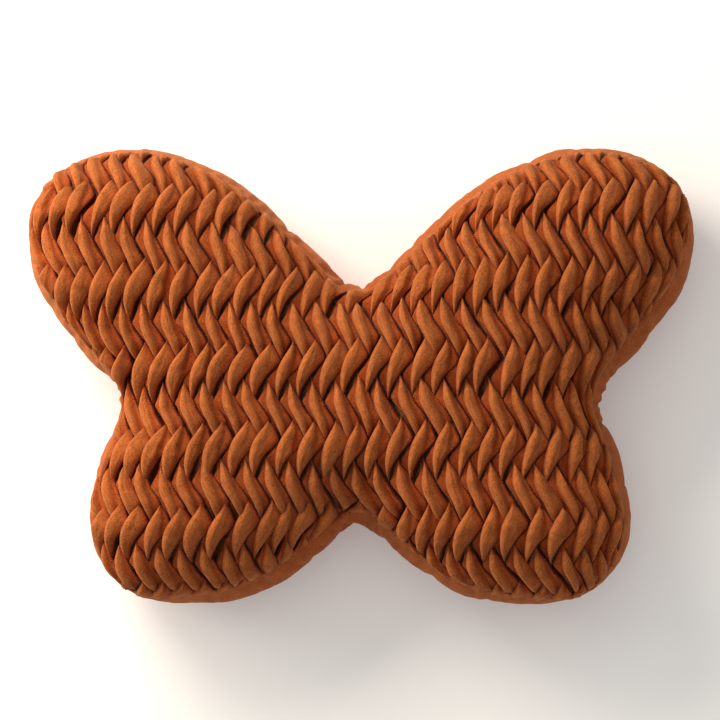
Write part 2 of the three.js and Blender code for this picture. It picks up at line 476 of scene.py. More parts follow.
@dataclass
class Crown:
    """The crowned face of the front, and where flat cloth lies on it.

    Cloth reaches the seam over the roll of the edge, so the flat panel is larger than its picture:
    each flat point is drawn in along the outline's normal by the length that the roll takes up.
    """

    field: InsetField
    seam_inset: float = 7.0
    reach: float = 80.0
    beyond: float = 40.0
    sampling: float = 0.25
    seam_height: float = 78.0
    top: float = 112.0
    fullness: float = 2.6
    tuck: float = 3.0
    tucked_in: float = 0.5
    flatten_over: float = 11.0
    flattened: float = 0.42
    least_shown: float = 1.5
    search_steps: int = 24
    halvings: int = 8

    def __post_init__(self) -> None:
        """Tabulates the roll of the edge by the distance in from the outline."""
        self.insets = np.arange(self.seam_inset, self.reach + self.beyond, self.sampling)
        stretch = np.hypot(1, self.slope(self.insets))
        taken = np.cumsum((stretch[1:] + stretch[:-1]) / 2 - 1) * self.sampling
        taken = np.concatenate([[0], taken])
        self.taken_up = taken[-1] - taken
        self.arcs = self.insets - self.seam_inset + taken

    def height(self, inset: np.ndarray) -> np.ndarray:
        """Height of the ground cloth at distances in from the outline."""
        share = np.clip((self.reach - inset) / (self.reach - self.seam_inset), 0, None)
        return self.top - (self.top - self.seam_height) * share ** self.fullness

    def slope(self, inset: np.ndarray) -> np.ndarray:
        """Steepness of the ground cloth.

        Args:
            inset: Distances in from the outline.

        Returns:
            Its rise for each millimetre inwards.
        """
        run = self.reach - self.seam_inset
        share = np.clip((self.reach - inset) / run, 0, None)
        return self.fullness * (self.top - self.seam_height) / run * share ** (self.fullness - 1)

    def lay(self, flat: np.ndarray, lift: np.ndarray) -> np.ndarray | None:
        """Lays one pleat's points on the crown. What lies past the seam is tucked in along it.

        Args:
            flat: Rows of x, y on the flat panel.
            lift: Height of each point above the ground cloth.

        Returns:
            Rows of x, y, z, or nothing where the whole pleat is past the seam.
        """
        limit = self.insets[0] - self.taken_up[0]
        reference, _ = self.field.sample(flat)
        if reference.max() < limit + self.least_shown:
            return None
        outside = reference < limit
        held, past = flat.copy(), np.zeros(len(flat))
        if outside.any():
            held[outside], past[outside] = self._brought_in(
                flat[outside], flat[np.argmax(reference)], limit)
        reference, normal = self.field.sample(held)
        inset = np.interp(reference, self.insets - self.taken_up, self.insets)
        arc = np.interp(inset, self.insets, self.arcs)
        tucked = self.tuck * (1 - np.exp(-past / self.tuck))
        slope = self.slope(inset)
        steep = np.hypot(1, slope)
        kept = self.flattened + (1 - self.flattened) * smoothstep(arc / self.flatten_over)
        rise = lift * kept * (1 - tucked / self.tuck)
        side = reference - inset - self.tucked_in * tucked + rise * slope / steep
        place = held + normal * side[:, None]
        height = self.height(inset) - tucked + rise / steep
        return np.column_stack([place, height])

    def _brought_in(
        self, stray: np.ndarray, anchor: np.ndarray, limit: float,
    ) -> tuple[np.ndarray, np.ndarray]:
        """Brings points past the seam back to it, straight towards a point of the same pleat.

        Args:
            stray: Rows of x, y past the seam.
            anchor: A point of the pleat inside the seam.
            limit: Inset of the seam on the flat panel.

        Returns:
            Where each point meets the seam, and how far past it the point was.
        """
        way = stray - anchor
        outer = np.ones(len(stray))
        for share in np.linspace(1, 0, self.search_steps + 1)[1:-1]:
            inset, _ = self.field.sample(anchor + way * share)
            outer = np.where(inset < limit, share, outer)
        inner = np.maximum(outer - 1 / self.search_steps, 0)
        for _ in range(self.halvings):
            middle = (inner + outer) / 2
            inset, _ = self.field.sample(anchor + way * middle[:, None])
            inner, outer = np.where(inset < limit, inner, middle), np.where(inset < limit, middle, outer)
        met = anchor + way * inner[:, None]
        return met, np.linalg.norm(stray - met, axis=1)


@dataclass(frozen=True)
class Velvet:
    """Short cut pile on a knitted polyester ground, dyed rust: matt, with pale rims where it turns away, and
    soft patches where the pile was brushed. Its colour ramp paints light and shade: painted shade, darker
    and redder, down in the folds and at the seams, and the crest colour at the top, a painted highlight on
    the pleats' crests."""

    name: str
    # The ramp's colours: two of painted shade for the folds, the pile's own colour, and the crest colour,
    # which is a painted highlight on the pleats' crests and the band's own colour away from its seams
    painted_crevice_shade: str
    shaded: str
    pile: str
    crest: str
    rim: str
    streaked: bool = False
    speckle: float = 0.42
    patch_size: float = 13.0
    pile_size: float = 1.0
    relief: float = 0.35
    streak_width: float = 1.3
    streak_length: float = 6.0
    streak_relief: float = 0.5
    grain_share: float = 1.8
    streak_share: float = 1.2
    noise_mean: float = 0.5
    stops: tuple[float, ...] = (0.08, 0.3, 0.6, 1.0)
    shading: tuple[float, float] = (1.0, 1.8)

    def material(self) -> bpy.types.Material:
        """Builds the material's nodes.

        Returns:
            A velvet that reads each point's painted light, painted shade in the folds and a painted
            highlight on the crests, and, where it is streaked, its run.
        """
        made = new_material(self.name, {
            "Roughness": 0.95, "Specular IOR Level": 0.08, "Sheen Weight": 0.3,
            "Sheen Roughness": 0.45, "Sheen Tint": linear(self.rim)})
        tree = made.node_tree
        place = add_node(tree, "ShaderNodeTexCoord").outputs["Object"]
        patches = add_node(tree, "ShaderNodeTexNoise", {
            "Scale": 1 / (self.patch_size * MM), "Detail": 4.0, "Roughness": 0.65, "Distortion": 0.6,
        }, {"Vector": place})
        grain = add_node(tree, "ShaderNodeTexNoise", {
            "Scale": 1 / (self.pile_size * MM), "Detail": 2.0, "Roughness": 0.7,
        }, {"Vector": place})
        # Painted light and shade from the ramp, chosen by each point's attribute
        painted_light = add_node(tree, "ShaderNodeAttribute", {"attribute_name": "painted_light"})
        folds = add_node(tree, "ShaderNodeValToRGB", {}, {"Fac": painted_light.outputs["Fac"]})
        ramp = folds.color_ramp.elements
        while len(ramp) < len(self.stops):
            ramp.new(1.0)
        for stop, at, colour in zip(ramp, self.stops, (self.painted_crevice_shade, self.shaded, self.pile, self.crest)):
            stop.position, stop.color = at, linear(colour)
        uneven = add_node(tree, "ShaderNodeMath", {"operation": "MULTIPLY_ADD", 1: self.grain_share}, {
            0: grain.outputs["Fac"], 2: patches.outputs["Fac"],
        }).outputs[0]
        normal = add_node(tree, "ShaderNodeBump", {"Strength": 0.9, "Distance": self.relief * MM}, {
            "Height": grain.outputs["Fac"],
        }).outputs["Normal"]
        if self.streaked:
            normal, uneven = self._streaks(tree, normal, uneven)
        darkest, lightest = self.shading
        shade = add_node(tree, "ShaderNodeMapRange", {
            "From Min": darkest, "From Max": lightest,
            "To Min": 1 - self.speckle, "To Max": 1 + self.speckle,
        }, {"Value": uneven})
        dyed = add_node(tree, "ShaderNodeVectorMath", {"operation": "SCALE"}, {
            0: folds.outputs["Color"], "Scale": shade.outputs["Result"],
        })
        shader = tree.nodes["Principled BSDF"]
        tree.links.new(dyed.outputs["Vector"], shader.inputs["Base Color"])
        tree.links.new(normal, shader.inputs["Normal"])
        return made

    def _streaks(
        self, tree: bpy.types.NodeTree, normal: bpy.types.NodeSocket, uneven: bpy.types.NodeSocket,
    ) -> tuple[bpy.types.NodeSocket, bpy.types.NodeSocket]:
        """Adds the lines of brushed pile that run along a pleat.

        Args:
            tree: The material's nodes.
            normal: The normal so far.
            uneven: The unevenness of the colour so far.

        Returns:
            The normal and the unevenness with the streaks in them.
        """
        run = add_node(tree, "ShaderNodeUVMap", {"uv_map": "run"})
        stretched = add_node(tree, "ShaderNodeMapping", {
            "Scale": (1 / self.streak_width, 1 / self.streak_length, 1.0),
        }, {"Vector": run.outputs["UV"]})
        streaks = add_node(tree, "ShaderNodeTexNoise", {
            "Scale": 1.0, "Detail": 3.0, "Roughness": 0.65, "Distortion": 0.4,
        }, {"Vector": stretched.outputs["Vector"]}).outputs["Fac"]
        bump = add_node(tree, "ShaderNodeBump", {
            "Strength": 0.9, "Distance": self.streak_relief * MM,
        }, {"Height": streaks, "Normal": normal})
        centred = add_node(tree, "ShaderNodeMath", {"operation": "SUBTRACT", 1: self.noise_mean}, {
            0: streaks})
        added = add_node(tree, "ShaderNodeMath", {"operation": "MULTIPLY_ADD", 1: self.streak_share}, {
            0: centred.outputs[0], 2: uneven})
        return bump.outputs["Normal"], added.outputs[0]


@dataclass(frozen=True)
class Thread:
    """Twisted polyester sewing thread in the velvet's rust, a dull line with a faint gloss; its dark colour
    is partly painted shade of the gaps beside the stitches.
    """

    name: str
    colour: str

    def material(self) -> bpy.types.Material:
        """Builds the material."""
        return new_material(self.name, {
            "Base Color": linear(self.colour), "Roughness": 0.7, "Specular IOR Level": 0.2})


@dataclass(frozen=True)
class Character:
    """How one pleat differs from its table.

    The constants say how far a pleat may differ, which share of the pleats drops sharply to a flap,
    and how that share falls towards the left wing.
    """

    FURTHEST = 1.8
    HALF_WAY, WING = 0.5, 60.0
    STEPPED = {Lean.FALLING: 0.85, Lean.RISING: 0.75}
    FEWER_ON_LEFT = {Lean.FALLING: 0.0, Lean.RISING: 0.35}
    SHARP, SOFT = (0.6, 1.0), (0.0, 0.2)
    STEP_SPREAD = 0.04
    DEEPEST_CREASE = 0.9
    CREASE_PLACES = (0.3, 0.5)
    PHASES = 6
    TILT_SPREAD = 0.028
    SHIFT_SPREAD = 0.65

    bow: float
    ridge: float
    width: float
    height: float
    lip: float
    step: float
    step_shift: float
    crease: float
    crease_at: float
    phase: float
    rounded: float
    tilt: float
    shift: tuple[float, float]

    @classmethod
    def drawn(cls, rng: np.random.Generator, lean: Lean, across: float) -> "Character":
        """Draws a pleat's character.

        Args:
            rng: Seeded source of the unevenness.
            lean: Which way the pleat leans.
            across: Where the pleat is, from the left wing to the right.

        Returns:
            A new character.
        """
        bow, ridge, width, height, lip = rng.normal(0, 1, 5).clip(-cls.FURTHEST, cls.FURTHEST)
        leftness = float(smoothstep(cls.HALF_WAY - across / cls.WING))
        stepped = cls.STEPPED[lean] - cls.FEWER_ON_LEFT[lean] * leftness
        step = rng.uniform(*(cls.SHARP if rng.random() < stepped else cls.SOFT))
        rounded = leftness if lean is Lean.RISING else 0.0
        return cls(
            bow, ridge, width, height, lip, step, rng.normal(0, cls.STEP_SPREAD),
            rng.uniform(0, cls.DEEPEST_CREASE), rng.uniform(*cls.CREASE_PLACES),
            rng.uniform(0, cls.PHASES), rounded, rng.normal(0, cls.TILT_SPREAD),
            tuple(rng.normal(0, cls.SHIFT_SPREAD, 2)))


@dataclass(frozen=True)
class Wave:
    """A slow wander of the pleats over the panel."""

    height: float
    across: float
    along: float
    start: float = 0.0

    def at(self, x: np.ndarray, y: np.ndarray) -> np.ndarray:
        """How far the wave moves each place."""
        return self.height * np.sin(x / self.across + y / self.along + self.start)


@dataclass(frozen=True)
class Profile:
    """How a pleat's cross-section is drawn between the places that its table gives.

    base is the hidden floor under it, and wall the upright cloth over that. The fold at the free edge
    has its radius and its least. The facet comes out of sight by overlap, past a groove, with a swell.
    The face falls along powers from the ridge, to a flap that starts at the brow. The underside turns
    back within the fold, and the crease is a dent in the face.
    """

    base: float = -4.5
    wall: float = 1.0
    fold_radius: float = 0.8
    fold_share: float = 0.35
    least_fold: float = 0.1
    overlap: float = 3.4
    groove: float = -0.4
    groove_depth: float = 1.2
    dive: float = 0.6
    swell_width: float = 1.5
    ridge_share: float = 0.3
    drop_width: float = 2.4
    widest_drop: float = 0.3
    brow_limits: tuple[float, float] = (0.15, 0.94)
    fall_power: float = 1.6
    stepped_fall: float = 2.2
    stepped_power: float = 1.5
    web: float = 0.2
    crease_width: float = 0.1
    tucked: tuple[float, float] = (0.4, 0.8)
    tucked_lower: float = 0.25
    under_gap: float = 0.1
    over_base: tuple[float, float] = (0.4, 0.3)


@dataclass
class SmockedFront:
    """The front panel: one piece of velvet drawn up from behind into rows of leaning pleats.

    A row of falling pleats follows a row of rising ones. A pleat comes out from under its left
    neighbour as a low facet, turns up steeply to a ridge and falls to a free edge on its right.
    """

    STITCHED = {Lean.FALLING: (7.0, 30.0), Lean.RISING: (15.0, 27.0)}
    EDGE_COLUMNS = (22, 23, 24)
    COLUMNS, ROWS = range(-18, 19), range(-4, 5)
    SIDEWAYS = (Wave(1.3, 47, 90), Wave(0.9, 19, -31, 2))
    UPWARDS = (Wave(1.6, 61, -70, 1), Wave(1.1, 23, 41))
    # Painted light of each point round a pleat by its place alone: painted shade, darkest where cloth meets
    # cloth, at the foot of the ridge, under the step and at the free edge
    FACET_PAINTED_LIGHT = (0, 0, 0, 0.1, 0.45, 0.8, 1, 1, 1, 0.7, 0.9, 1, 1, 1)
    PLAIN_PAINTED_LIGHT = (1, 1, 1, 1, 0.98, 0.94, 0.9, 0.84, 0.74, 0.4)
    STEPPED_PAINTED_LIGHT = (1, 1, 0.98, 0.86, 0.76, 0.66, 0.7, 0.95, 1, 0.5)
    UNDERSIDE_PAINTED_LIGHT = (0,) * 8

    crown: Crown
    finish: bpy.types.Material
    profile: Profile = Profile()
    scale: float = 0.969
    pitch: float = 16.25
    period: float = 61.4
    slant: float = -0.15
    first: tuple[float, float] = (2.4, -8.6)
    rising_from: tuple[float, float] = (2.05, -30.8)
    stations: int = 31
    round_steps: int = 4
    flat_steps: int = 3
    fanned: float = -0.03
    fan_width: float = 60.0
    bow_spread: float = 0.9
    ridge_spread: float = 0.85
    width_spread: float = 1.0
    height_spread: float = 0.08
    lip_spread: float = 0.1
    ridge_rounding: float = 2.6
    edge_rounding: float = 1.4
    edge_wave: float = 0.3
    edge_wave_length: float = 2.6
    pivot: float = 20.0
    least_face: float = 0.4
    # Painted light rises with height above the ground cloth, from painted shade low in the folds to a
    # painted highlight on the crests
    painted_shade_below: float = -1.0
    painted_shade_over: float = 8.0
    longest_run: float = 400.0
    ground_margin: float = 1.0
    ground_sunk: float = 2.5
    ground_sinks_from: float = 8.0
    ground_sinks_over: float = 12.0
    ground_below: float = 0.6
    ground_thickness: float = 3.0
    # Painted shade on the ground cloth between the pleats, lightened near the seam
    ground_painted_light: float = 0.3
    seam_painted_light: float = 0.3
    seam_painted_light_over: float = 14.0
    seed: int = 11

    def __post_init__(self) -> None:
        """Starts the list of the free edges that are stitched down."""
        self.stitched: list[np.ndarray] = []

    def build(self) -> None:
        """Builds the pleats, a piece for each lean and wing, and the ground cloth behind them."""
        rng = np.random.default_rng(self.seed)
        made = [piece for lean in Lean for piece in self._pleats(lean, rng)]
        made.append(self._ground())
        for piece in made:
            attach(piece, "root")
            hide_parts("smocked_front")

    def _origins(self, lean: Lean) -> np.ndarray:
        """Top tips of a lean's pleats on the flat panel.

        Args:
            lean: Which rows.

        Returns:
            Rows of x, y.
        """
        columns, rows = np.meshgrid(self.COLUMNS, self.ROWS)
        shift = self.rising_from if lean is Lean.RISING else (0.0, 0.0)
        x = self.first[0] + shift[0] + columns * self.pitch - rows * self.slant
        y = self.first[1] + shift[1] + rows * self.period
        return np.column_stack([x.ravel(), y.ravel()])

    def _pleats(self, lean: Lean, rng: np.random.Generator) -> list[bpy.types.Object]:
        """Makes every pleat of one lean.

        Args:
            lean: Which rows.
            rng: Seeded source of the unevenness.

        Returns:
            An object of closed pleats for the left wing and one for the right.
        """
        table = np.array([astuple(section) for section in PLEATS[lean]])
        sides = {"left": [], "right": []}
        for origin in self._origins(lean):
            patch = self._pleat(origin, lean, table, Character.drawn(rng, lean, origin[0]), rng)
            if patch is not None:
                sides["left" if origin[0] < 0 else "right"].append(patch)
        made = []
        for side, patches in sides.items():
            name = f"smocked_pleats_{lean.value}_{side}"
            made.append(joined(patches).piece(name, self.finish))
            log.info("%s: %d pleats", name, len(patches))
        return made

    def _pleat(
        self, origin: np.ndarray, lean: Lean, table: np.ndarray, character: Character,
        rng: np.random.Generator,
    ) -> Patch | None:
        """Makes one pleat and lays it on the crown.

        Args:
            origin: Its top tip on the flat panel.
            lean: Which way it leans.
            table: The lean's sections.
            character: How the pleat differs from them.
            rng: Seeded source of the place in the streaks.

        Returns:
            The pleat as a closed solid, or nothing where it is past the seam.
        """
        across, down, lift = self._shell(self._columns(table, character), character)
        start = rng.uniform(0, self.longest_run, 2)
        flat = np.column_stack([(origin[0] + across).ravel(), (origin[1] - down).ravel()]) * self.scale
        laid = self.crown.lay(self._drifted(flat), lift.ravel())
        if laid is None:
            return None
        shell = laid.reshape(*across.shape, 3)
        first, last = self.STITCHED[lean]
        sewn = (down[:, 0] >= first) & (down[:, 0] <= last)
        self.stitched.append(shell[sewn][:, self.EDGE_COLUMNS])
        painted_round = np.repeat(self._painted_light_round(character.step)[None], len(down), axis=0)
        around = np.hypot(np.diff(across, axis=1), np.diff(lift, axis=1)).cumsum(axis=1)
        around = np.hstack([np.zeros((len(down), 1)), around])
        run = np.column_stack([around.ravel(), down.ravel()]) + start
        # Painted light: painted shade low in the folds and along the edges, rising with height to a painted
        # highlight on the crest
        painted_light = np.clip((lift - self.painted_shade_below) / self.painted_shade_over, 0, 1) * painted_round
        faces = ring_quads(self.stations, across.shape[1])
        ring = list(range(across.shape[1]))
        faces += [ring, [corner + across.size - len(ring) for corner in reversed(ring)]]
        return Patch(laid, faces, painted_light.ravel(), run)

    def _painted_light_round(self, step: float) -> np.ndarray:
        """Blends the painted light of each point for a plain and for a stepped face, with painted shade
        under the step.

        Args:
            step: How sharply the pleat's face drops to a flap.

        Returns:
            A share for each point of the shell.
        """
        plain, stepped = np.array(self.PLAIN_PAINTED_LIGHT), np.array(self.STEPPED_PAINTED_LIGHT)
        face = plain + (stepped - plain) * step
        return np.array([*self.FACET_PAINTED_LIGHT, *face, *self.UNDERSIDE_PAINTED_LIGHT], dtype=float)

    def _drifted(self, flat: np.ndarray) -> np.ndarray:
        """Lets the rows and columns wander a little, as hand-drawn smocking does.

        Args:
            flat: Rows of x, y on the flat panel.

        Returns:
            Where each point has wandered to.
        """
        x, y = flat[:, 0], flat[:, 1]
        fan = self.fanned * np.tanh(x / self.fan_width) * y
        along = sum((wave.at(x, y) for wave in self.SIDEWAYS), fan)
        up = sum(wave.at(x, y) for wave in self.UPWARDS)
        return flat + np.column_stack([along, up])

    def _columns(self, table: np.ndarray, character: Character) -> np.ndarray:
        """Gives one pleat its own shape.

        Args:
            table: The lean's sections.
            character: How the pleat differs from them.

        Returns:
            The pleat's columns at its stations.
        """
        down = np.linspace(table[0, DOWN], table[-1, DOWN], self.stations)
        columns = np.column_stack([
            down, *(np.interp(down, table[:, DOWN], table[:, c]) for c in range(HIDDEN, BROW + 1))])
        belly = np.sin(np.pi * np.linspace(0, 1, self.stations))
        ridge = self.ridge_spread * character.ridge - self.ridge_rounding * character.rounded
        wave = self.edge_wave * np.sin(down / self.edge_wave_length + character.phase)
        columns[:, FOOT:LOW] += (self.bow_spread * character.bow * belly)[:, None]
        columns[:, FOOT:EDGE] += (ridge * belly)[:, None]
        columns[:, EDGE] -= self.edge_rounding * character.rounded * belly
        columns[:, HIDDEN] -= self.edge_rounding * character.rounded * belly
        columns[:, BROW] += character.step_shift
        columns[:, EDGE] += (self.width_spread * character.width + wave) * belly
        columns[:, HIGH] *= 1 + self.height_spread * character.height * belly
        columns[:, LIP] *= 1 + self.lip_spread * character.lip * belly
        columns[:, HIDDEN:LOW] += character.shift[0] + character.tilt * (columns[:, :1] - self.pivot)
        columns[:, DOWN] += character.shift[1]
        columns[:, EDGE] = np.maximum(columns[:, EDGE], columns[:, CREST] + self.least_face)
        return columns

    def _shell(self, columns: np.ndarray, character: Character) -> tuple[np.ndarray, np.ndarray, np.ndarray]:
        """Runs a closed loop round the pleat at each station.

        Args:
            columns: The pleat's columns at its stations.
            character: Its step and crease.

        Returns:
            Across, down and lift, each stations by points round.
        """
        down, hidden, foot, flank, crest, edge, low, high, lip, brow = np.hsplit(
            columns, columns.shape[1])
        form = self.profile
        base = np.full_like(low, form.base)
        radius = np.minimum(form.fold_radius, form.fold_share * (edge - crest) + form.least_fold)
        curve, straight = (
            np.linspace(0, 1, steps + 1)[None, 1:] for steps in (self.round_steps, self.flat_steps))
        quarter, half_turn = curve * (math.pi / 2), curve * math.pi
        # The facet, up out of the groove beside the left neighbour
        shown = smoothstep((foot - hidden - form.overlap) / form.overlap)
        dive_x = hidden + np.minimum(form.overlap + form.groove, (foot - hidden) / 2)
        dive_z = low * (1 - shown) - form.groove_depth * shown - form.dive
        swell = np.minimum(form.swell_width, (foot - dive_x) / 2)
        facet_x = np.hstack([
            hidden, hidden, dive_x, dive_x + swell * (1 - np.cos(quarter)),
            dive_x + swell + (foot - dive_x - swell) * straight])
        facet_z = np.hstack([
            base, base + form.wall, dive_z, dive_z + (low - dive_z) * np.sin(quarter),
            np.repeat(low, self.flat_steps, axis=1)])
        # The steep side of the ridge
        first, second, third, fourth = (
            (1 - curve) ** 3, 3 * curve * (1 - curve) ** 2, 3 * curve ** 2 * (1 - curve), curve ** 3)
        flank_x = first * foot + (second + third) * flank + fourth * crest
        turning = (1 - form.ridge_share) * low + form.ridge_share * high
        flank_z = first * low + second * turning + third * high + fourth * high
        # The face, falling to the free edge plainly or by a step to a flap
        drop = np.minimum(form.drop_width / (edge - crest), form.widest_drop)
        least, most = form.brow_limits
        start = np.clip(brow - drop / 2, least, most - drop)
        fall = np.hstack([
            start * curve, start + drop * straight, start + drop + (1 - start - drop) * straight])
        slope_x = crest + (edge - radius - crest) * fall
        plain = high + (lip - high) * fall ** form.fall_power
        stepped = high - form.stepped_fall * (fall / (start + drop)) ** form.stepped_power
        web = lip + form.web * (high - lip) * (1 - fall) / (1 - start)
        stepped += (web - stepped) * smoothstep((fall - start) / drop)
        slope_z = plain + (stepped - plain) * character.step
        belly = np.sin(np.pi * np.linspace(0, 1, self.stations))[:, None]
        dent = np.exp(-((fall - character.crease_at) / form.crease_width) ** 2)
        slope_z -= character.crease * belly * dent
        # The fold at the free edge, and the underside back to the base
        fold_x = edge - radius + radius * np.sin(half_turn)
        fold_z = lip - radius + radius * np.cos(half_turn)
        within = crest + form.fold_share * (edge - crest)
        tucked = np.array([form.tucked])
        under_x = (edge - radius) + (within - edge + radius) * tucked
        under_z = (lip - 2 * radius) * (1 - form.tucked_lower * tucked) - form.under_gap
        higher, lower = form.over_base
        under_x = np.hstack([under_x, within, within])
        under_z = np.hstack([np.maximum(under_z, base + higher), base + lower, base])
        across = np.hstack([facet_x, flank_x, slope_x, fold_x, under_x])
        lift = np.hstack([facet_z, flank_z, slope_z, fold_z, under_z])
        return across, np.repeat(down, across.shape[1], axis=1), lift

    def _ground(self) -> bpy.types.Object:
        """Makes the cloth at the foot of the pleats, as a thick sheet closed at the seam.

        Returns:
            The new object.
        """
        crown = self.crown
        margin = crown.seam_inset + self.ground_margin
        rim = Outline(RIM_SPACING, front=True).drawn_in(margin)
        points, triangles = filled(rim, crown.field, margin)
        inset, _ = crown.field.sample(points)
        sunk = self.ground_sunk * smoothstep((inset - self.ground_sinks_from) / self.ground_sinks_over)
        top = crown.height(inset) - sunk - self.ground_below
        both, faces = slab(points, triangles, top, top - self.ground_thickness, len(rim))
        # Painted shade on the ground cloth, lighter near the seam
        near_seam = 1 - smoothstep((np.tile(inset, 2) - margin) / self.seam_painted_light_over)
        shown = self.ground_painted_light + self.seam_painted_light * near_seam
        return Patch(both, faces, shown, both[:, :2]).piece("smocked_ground", self.finish)


@dataclass
class Stitching:
    """Small stitches over the free edges of the pleats, in rust thread whose dark colour is partly painted
    shade of the gaps beside them.
    """

    insets: InsetField
    finish: bpy.types.Material
    spacing: float = 2.0
    length: float = 2.5
    thickness: float = 0.85
    clear_of_seam: float = 13.0
    wander: float = 0.18
    uneven: tuple[float, float] = (0.75, 1.25)
    bead: tuple[int, int] = (6, 4)
    seed: int = 23

    def build(self, edges: list[np.ndarray]) -> None:
        """Sews the stitches as one piece.

        Args:
            edges: For each edge, stations by three points across it, from the face over the fold.
        """
        places, ways = zip(*(self._spaced(edge) for edge in edges))
        places, ways = np.vstack(places), np.vstack(ways)
        inset, _ = self.insets.sample(places[:, :2])
        shown = inset > self.clear_of_seam
        places, ways = places[shown], ways[shown]
        rng = np.random.default_rng(self.seed)
        ways = ways + rng.normal(0, self.wander, ways.shape)
        mesh = bpy.data.meshes.new("stitch_places")
        mesh.from_pydata((places * MM).tolist(), [], [])
        mesh.attributes.new("way", "FLOAT_VECTOR", "POINT").data.foreach_set("vector", ways.ravel())
        sewn = linked("stitch_places", mesh)
        tree = self._tree()
        nodes = sewn.modifiers.new("stitches", "NODES")
        nodes.node_group = tree
        values = {
            "Length": self.length * MM / 2, "Thickness": self.thickness * MM / 2, "Seed": self.seed,
            "Thread": self.finish}
        for item in tree.interface.items_tree:
            if item.name in values:
                nodes[item.identifier] = values[item.name]
        evaluated = sewn.evaluated_get(bpy.context.evaluated_depsgraph_get())
        made = bpy.data.meshes.new_from_object(evaluated)
        bpy.data.objects.remove(sewn)
        made.polygons.foreach_set("use_smooth", [True] * len(made.polygons))
        piece = linked("pleat_stitches", made)
        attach(piece, "root")
        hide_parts("smocked_front")
        log.info("%s: %d stitches", piece.name, len(places))

    def _spaced(self, edge: np.ndarray) -> tuple[np.ndarray, np.ndarray]:
        """Spaces stitches along one edge.

        Args:
            edge: Stations by three points across the edge.

        Returns:
            The middle and the direction of each stitch.
        """
        middle, across = edge[:, 1], edge[:, 2] - edge[:, 0]
        steps = np.linalg.norm(np.diff(middle, axis=0), axis=1)
        along = np.concatenate([[0], np.cumsum(steps)])
        at = np.arange(self.spacing / 2, along[-1], self.spacing)
        places = np.column_stack([np.interp(at, along, middle[:, k]) for k in range(3)])
        ways = np.column_stack([np.interp(at, along, across[:, k]) for k in range(3)])
        return places, ways / np.maximum(np.linalg.norm(ways, axis=1), TINY)[:, None]

    def _tree(self) -> bpy.types.NodeTree:
        """Builds the node tree that puts a stitch at every place.

        Returns:
            A node group whose inputs are the places, the sizes, the seed and the thread.
        """
        tree = bpy.data.node_groups.new("stitches", "GeometryNodeTree")
        sockets = (("Places", "Geometry"), ("Length", "Float"), ("Thickness", "Float"), ("Seed", "Int"),
                   ("Thread", "Material"))
        for name, kind in sockets:
            tree.interface.new_socket(name, in_out="INPUT", socket_type=f"NodeSocket{kind}")
        tree.interface.new_socket("Stitches", in_out="OUTPUT", socket_type="NodeSocketGeometry")
        given = add_node(tree, "NodeGroupInput").outputs
        segments, rings = self.bead
        shortest, longest = self.uneven
        bead = add_node(tree, "GeometryNodeMeshUVSphere", {
            "Segments": segments, "Rings": rings, "Radius": 1.0})
        way = add_node(tree, "GeometryNodeInputNamedAttribute", {"data_type": "FLOAT_VECTOR", "Name": "way"})
        turned = add_node(tree, "FunctionNodeAlignRotationToVector", {"axis": "Z"}, {
            "Vector": way.outputs["Attribute"]})
        uneven = add_node(tree, "FunctionNodeRandomValue", {
            "data_type": "FLOAT", 2: shortest, 3: longest}, {"Seed": given["Seed"]})
        long = add_node(tree, "ShaderNodeMath", {"operation": "MULTIPLY"}, {
            0: given["Length"], 1: uneven.outputs[1]})
        size = add_node(tree, "ShaderNodeCombineXYZ", {}, {
            "X": given["Thickness"], "Y": given["Thickness"], "Z": long.outputs[0]})
        placed = add_node(tree, "GeometryNodeInstanceOnPoints", {}, {
            "Points": given["Places"], "Instance": bead.outputs["Mesh"],
            "Rotation": turned.outputs["Rotation"], "Scale": size.outputs["Vector"]})
        real = add_node(tree, "GeometryNodeRealizeInstances", {}, {"Geometry": placed.outputs["Instances"]})
        dyed = add_node(tree, "GeometryNodeSetMaterial", {}, {
            "Geometry": real.outputs["Geometry"], "Material": given["Thread"]})
        add_node(tree, "NodeGroupOutput", {}, {"Stitches": dyed.outputs["Geometry"]})
        return tree


def filled(rim: np.ndarray, insets: InsetField, margin: float) -> tuple[np.ndarray, list]:
    """Fills a closed rim with triangles on a triangular grid.

    Args:
        rim: Points round the rim.
        insets: Distances in from the outline.
        margin: Inset of the rim.

    Returns:
        All points, rim first, and triangles facing up.
    """
    half_width, half_height, clear_of_rim, nearest = 250, 170, 0.6, 1e-5
    rows = np.arange(-half_height, half_height, FILL_SPACING * math.sqrt(3) / 2)
    inner = np.array([
        (x + (FILL_SPACING / 2 if index % 2 else 0), y)
        for index, y in enumerate(rows) for x in np.arange(-half_width, half_width, FILL_SPACING)])
    inset, _ = insets.sample(inner)
    inner = inner[inset > margin + FILL_SPACING * clear_of_rim]
    places = [Vector(place) for place in np.vstack([rim, inner])]
    edges = [(i, (i + 1) % len(rim)) for i in range(len(rim))]
    placed, _, faces, *_ = geometry.delaunay_2d_cdt(places, edges, [], 0, nearest)
    placed = np.array([tuple(p) for p in placed])
    triangles = np.array([f for f in faces if len(f) == 3])
    inside, _ = insets.sample(placed[triangles].mean(axis=1))
    triangles = triangles[inside > margin]
    first, second, third = (placed[triangles[:, k]] for k in range(3))
    turning = np.cross(second - first, third - first)
    triangles[turning < 0] = triangles[turning < 0][:, ::-1]
    return placed, triangles.tolist()


